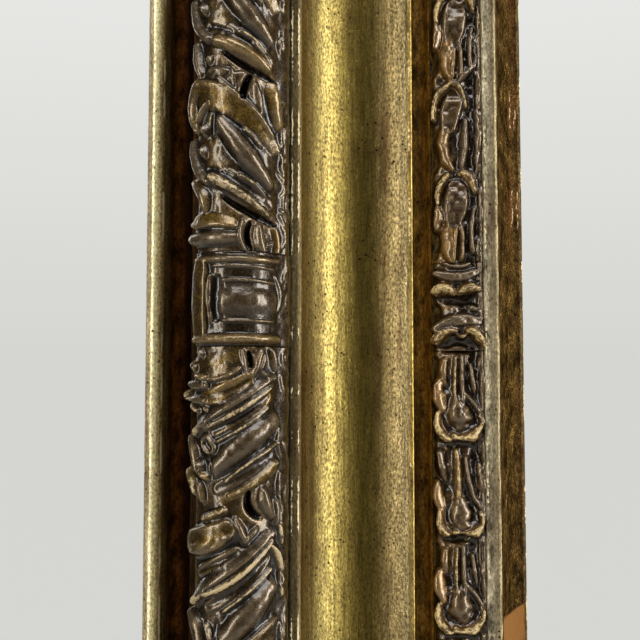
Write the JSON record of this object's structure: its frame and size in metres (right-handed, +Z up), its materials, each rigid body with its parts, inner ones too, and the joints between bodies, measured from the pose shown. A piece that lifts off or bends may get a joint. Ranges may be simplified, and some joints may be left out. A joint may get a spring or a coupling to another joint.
{
  "type": "ornate gilded picture frame",
  "caption": "Empty gilded picture frame with an acanthus leaf torus, a deep burnished cove, a husk chain along the sight edge, a lapped back frame, turn buttons and ring hangers.",
  "frame": {"origin": "centre of the back face of the back frame, the plane that faces the wall", "axes": "+X to the viewer's right, +Z up, the gilded front faces -Y, the wall is towards +Y"},
  "size_m": [0.558, 0.0581, 0.638],
  "materials": {
    "gilded_rail": "water gilding over gesso and dark bole, burnished, rubbed and toned",
    "gilded_carving": "cast composition, old metal leaf tarnished grey-brown under varnish, chipped ridges",
    "husk_carving": "cast composition, dark varnished leaf with amber recesses and worn pale rims",
    "pine_back": "old bare pine, planed",
    "hardwood_key": "bare hardwood",
    "iron_nail": "dull iron",
    "brass_button": "dulled sheet brass",
    "brass_hanger": "dulled brass",
    "steel_screw": "dull slotted steel"
  },
  "bodies": {
    "frame": {"rail_left": "gilded_rail", "back_frame_left": "pine_back", "center_strap_left": "gilded_carving", "husk_knot_left": "husk_carving", "leaf_run_left_upper": "gilded_carving", "husk_run_left_upper": "husk_carving", "leaf_run_left_lower": "gilded_carving", "husk_run_left_lower": "husk_carving", "rail_top": "gilded_rail", "back_frame_top": "pine_back", "center_strap_top": "gilded_carving", "husk_knot_top": "husk_carving", "leaf_run_top_left": "gilded_carving", "husk_run_top_left": "husk_carving", "leaf_run_top_right": "gilded_carving", "husk_run_top_right": "husk_carving", "rail_right": "gilded_rail", "back_frame_right": "pine_back", "center_strap_right": "gilded_carving", "husk_knot_right": "husk_carving", "leaf_run_right_upper": "gilded_carving", "husk_run_right_upper": "husk_carving", "leaf_run_right_lower": "gilded_carving", "husk_run_right_lower": "husk_carving", "rail_bottom": "gilded_rail", "back_frame_bottom": "pine_back", "center_strap_bottom": "gilded_carving", "husk_knot_bottom": "husk_carving", "leaf_run_bottom_left": "gilded_carving", "husk_run_bottom_left": "husk_carving", "leaf_run_bottom_right": "gilded_carving", "husk_run_bottom_right": "husk_carving", "corner_leaf_top_left": "gilded_carving", "sight_corner_leaf_top_left": "husk_carving", "mitre_key_top_left": "hardwood_key", "corner_leaf_top_right": "gilded_carving", "sight_corner_leaf_top_right": "husk_carving", "mitre_key_top_right": "hardwood_key", "corner_leaf_bottom_right": "gilded_carving", "sight_corner_leaf_bottom_right": "husk_carving", "mitre_key_bottom_right": "hardwood_key", "corner_leaf_bottom_left": "gilded_carving", "sight_corner_leaf_bottom_left": "husk_carving", "mitre_key_bottom_left": "hardwood_key", "lap_pegs": "hardwood_key", "mitre_nails": "iron_nail", "turn_button_screws": "steel_screw", "hanger_screws": "steel_screw", "hanger_plate_left": "brass_hanger", "hanger_plate_right": "brass_hanger"},
    "button_left_upper": {"turn_button_left_upper": "brass_button"},
    "button_left_lower": {"turn_button_left_lower": "brass_button"},
    "button_right_upper": {"turn_button_right_upper": "brass_button"},
    "button_right_lower": {"turn_button_right_lower": "brass_button"},
    "button_top": {"turn_button_top": "brass_button"},
    "button_bottom": {"turn_button_bottom": "brass_button"},
    "ring_left": {"hanger_ring_left": "brass_hanger"},
    "ring_right": {"hanger_ring_right": "brass_hanger"}
  },
  "joints": [
    {"name": "turn_left_upper", "type": "hinge", "parent": "frame", "child": "button_left_upper", "pos_m": [-0.203, 0.00075, 0.115], "axis": [0, -1, 0], "continuous": true},
    {"name": "turn_left_lower", "type": "hinge", "parent": "frame", "child": "button_left_lower", "pos_m": [-0.203, 0.00075, -0.115], "axis": [0, -1, 0], "continuous": true},
    {"name": "turn_right_upper", "type": "hinge", "parent": "frame", "child": "button_right_upper", "pos_m": [0.203, 0.00075, 0.115], "axis": [0, 1, 0], "continuous": true},
    {"name": "turn_right_lower", "type": "hinge", "parent": "frame", "child": "button_right_lower", "pos_m": [0.203, 0.00075, -0.115], "axis": [0, 1, 0], "continuous": true},
    {"name": "turn_top", "type": "hinge", "parent": "frame", "child": "button_top", "pos_m": [0.011, 0.00075, 0.243], "axis": [0, 1, 0], "continuous": true},
    {"name": "turn_bottom", "type": "hinge", "parent": "frame", "child": "button_bottom", "pos_m": [0.011, 0.00075, -0.243], "axis": [0, -1, 0], "continuous": true},
    {"name": "ring_left_swing", "type": "hinge", "parent": "frame", "child": "ring_left", "pos_m": [-0.243, 0.0026, 0.10591], "axis": [1, 0, 0], "range_deg": [0, 180]},
    {"name": "ring_right_swing", "type": "hinge", "parent": "frame", "child": "ring_right", "pos_m": [0.243, 0.0026, 0.10591], "axis": [1, 0, 0], "range_deg": [0, 180]}
  ]
}
